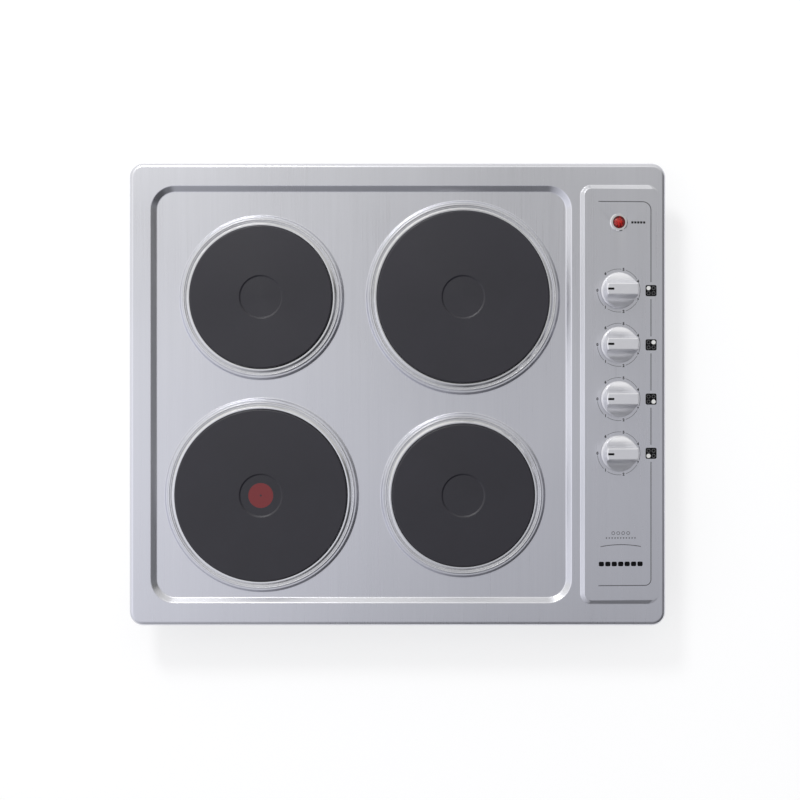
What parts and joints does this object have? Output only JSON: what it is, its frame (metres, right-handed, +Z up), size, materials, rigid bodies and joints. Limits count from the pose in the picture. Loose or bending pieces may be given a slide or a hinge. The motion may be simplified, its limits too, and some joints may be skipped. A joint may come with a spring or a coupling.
{
  "type": "built-in electric hob",
  "caption": "Built-in electric hob: brushed steel top with a sunk cooking well, sealed cast iron hotplates with steel spill rings, and rotary heat controls on a raised side panel.",
  "frame": {"origin": "centre of the worktop seat: the middle of the foam seal's underside, level with the worktop", "axes": "+X to the control side, +Y to the rear, +Z up out of the worktop"},
  "size_m": [0.58, 0.5, 0.0762],
  "materials": {
    "stainless_top": "fine-brushed front to back",
    "stainless_ring": "bright polished stainless",
    "cast_iron": "turned and black heat-treated",
    "galvanised": "galvanised sheet with spangle",
    "zinc_steel": "zinc-plated",
    "foam_seal": "closed-cell foam",
    "fibre_seal": "ceramic fibre",
    "heating_coil": "oxidised resistance alloy",
    "steatite": "fired steatite",
    "limiter_case": "pressed",
    "phenolic": "moulded phenolic",
    "spindle_steel": "turned",
    "silver_plastic": "satin silver moulding",
    "spring_steel": "hardened and oiled",
    "bright_bezel": "bright plated",
    "red_lens": "translucent red",
    "lamp_plastic": "moulded",
    "box_plastic": "fine-textured",
    "terminal_plastic": "moulded",
    "brass": "turned",
    "wire_sleeve": "glass-braid sleeving"
  },
  "bodies": {
    "hob": {"bottom_pan": "galvanised", "cable_clamp": "box_plastic", "clamp_nuts": "zinc_steel", "clamp_screws": "zinc_steel", "fixing_brackets": "galvanised", "heater_front_left": "heating_coil", "heater_front_right": "heating_coil", "heater_rear_left": "heating_coil", "heater_rear_right": "heating_coil", "hob_top": "stainless_top", "hotplate_front_left": "cast_iron", "hotplate_front_right": "cast_iron", "hotplate_rear_left": "cast_iron", "hotplate_rear_right": "cast_iron", "lamp_bezel": "bright_bezel", "lamp_body": "lamp_plastic", "lamp_lens": "red_lens", "lid_pin": "zinc_steel", "pan_screws": "zinc_steel", "plate_bridge_front_left": "spring_steel", "plate_bridge_front_right": "spring_steel", "plate_bridge_rear_left": "spring_steel", "plate_bridge_rear_right": "spring_steel", "plate_covers": "galvanised", "plate_nuts": "zinc_steel", "plate_seals": "fibre_seal", "plate_studs": "zinc_steel", "plate_terminals": "steatite", "spill_ring_front_left": "stainless_ring", "spill_ring_front_right": "stainless_ring", "spill_ring_rear_left": "stainless_ring", "spill_ring_rear_right": "stainless_ring", "switch_front_left": "phenolic", "switch_front_right": "phenolic", "switch_rear_left": "phenolic", "switch_rear_right": "phenolic", "switch_screws": "zinc_steel", "terminal_block": "terminal_plastic", "terminal_box": "box_plastic", "terminal_screws": "brass", "thermal_limiter": "limiter_case", "wiring": "wire_sleeve", "worktop_gasket": "foam_seal"},
    "control_rear_left": {"knob_rear_left": "silver_plastic", "switch_shaft_rear_left": "spindle_steel", "knob_clip_rear_left": "spring_steel"},
    "clamp_rear_left": {"worktop_clamp_rear_left": "zinc_steel"},
    "control_rear_right": {"knob_rear_right": "silver_plastic", "switch_shaft_rear_right": "spindle_steel", "knob_clip_rear_right": "spring_steel"},
    "clamp_rear_right": {"worktop_clamp_rear_right": "zinc_steel"},
    "control_front_left": {"knob_front_left": "silver_plastic", "switch_shaft_front_left": "spindle_steel", "knob_clip_front_left": "spring_steel"},
    "clamp_front_left": {"worktop_clamp_front_left": "zinc_steel"},
    "control_front_right": {"knob_front_right": "silver_plastic", "switch_shaft_front_right": "spindle_steel", "knob_clip_front_right": "spring_steel"},
    "clamp_front_right": {"worktop_clamp_front_right": "zinc_steel"},
    "lid": {"terminal_lid": "box_plastic"}
  },
  "joints": [
    {"name": "turn_rear_left", "type": "hinge", "parent": "hob", "child": "control_rear_left", "pos_m": [0.2385, 0.112, 0.00789], "axis": [0.0433, 0, 0.9991], "continuous": true},
    {"name": "turn_rear_right", "type": "hinge", "parent": "hob", "child": "control_rear_right", "pos_m": [0.2385, 0.0535, 0.00789], "axis": [0.0433, 0, 0.9991], "continuous": true},
    {"name": "turn_front_right", "type": "hinge", "parent": "hob", "child": "control_front_right", "pos_m": [0.2385, -0.005, 0.00789], "axis": [0.0433, 0, 0.9991], "continuous": true},
    {"name": "turn_front_left", "type": "hinge", "parent": "hob", "child": "control_front_left", "pos_m": [0.2385, -0.0635, 0.00789], "axis": [0.0433, 0, 0.9991], "continuous": true},
    {"name": "swing_rear_left", "type": "hinge", "parent": "hob", "child": "clamp_rear_left", "pos_m": [-0.246, 0.222, -0.0423], "axis": [0, 0, 1], "range_deg": [0, 90]},
    {"name": "swing_rear_right", "type": "hinge", "parent": "hob", "child": "clamp_rear_right", "pos_m": [0.246, 0.222, -0.0423], "axis": [0, 0, -1], "range_deg": [0, 90]},
    {"name": "swing_front_left", "type": "hinge", "parent": "hob", "child": "clamp_front_left", "pos_m": [-0.246, -0.222, -0.0423], "axis": [0, 0, -1], "range_deg": [0, 90]},
    {"name": "swing_front_right", "type": "hinge", "parent": "hob", "child": "clamp_front_right", "pos_m": [0.246, -0.222, -0.0423], "axis": [0, 0, 1], "range_deg": [0, 90]},
    {"name": "lid_hinge", "type": "hinge", "parent": "hob", "child": "lid", "pos_m": [-0.0381, 0.1772, -0.0426], "axis": [-1, 0, 0], "range_deg": [0, 100]}
  ]
}
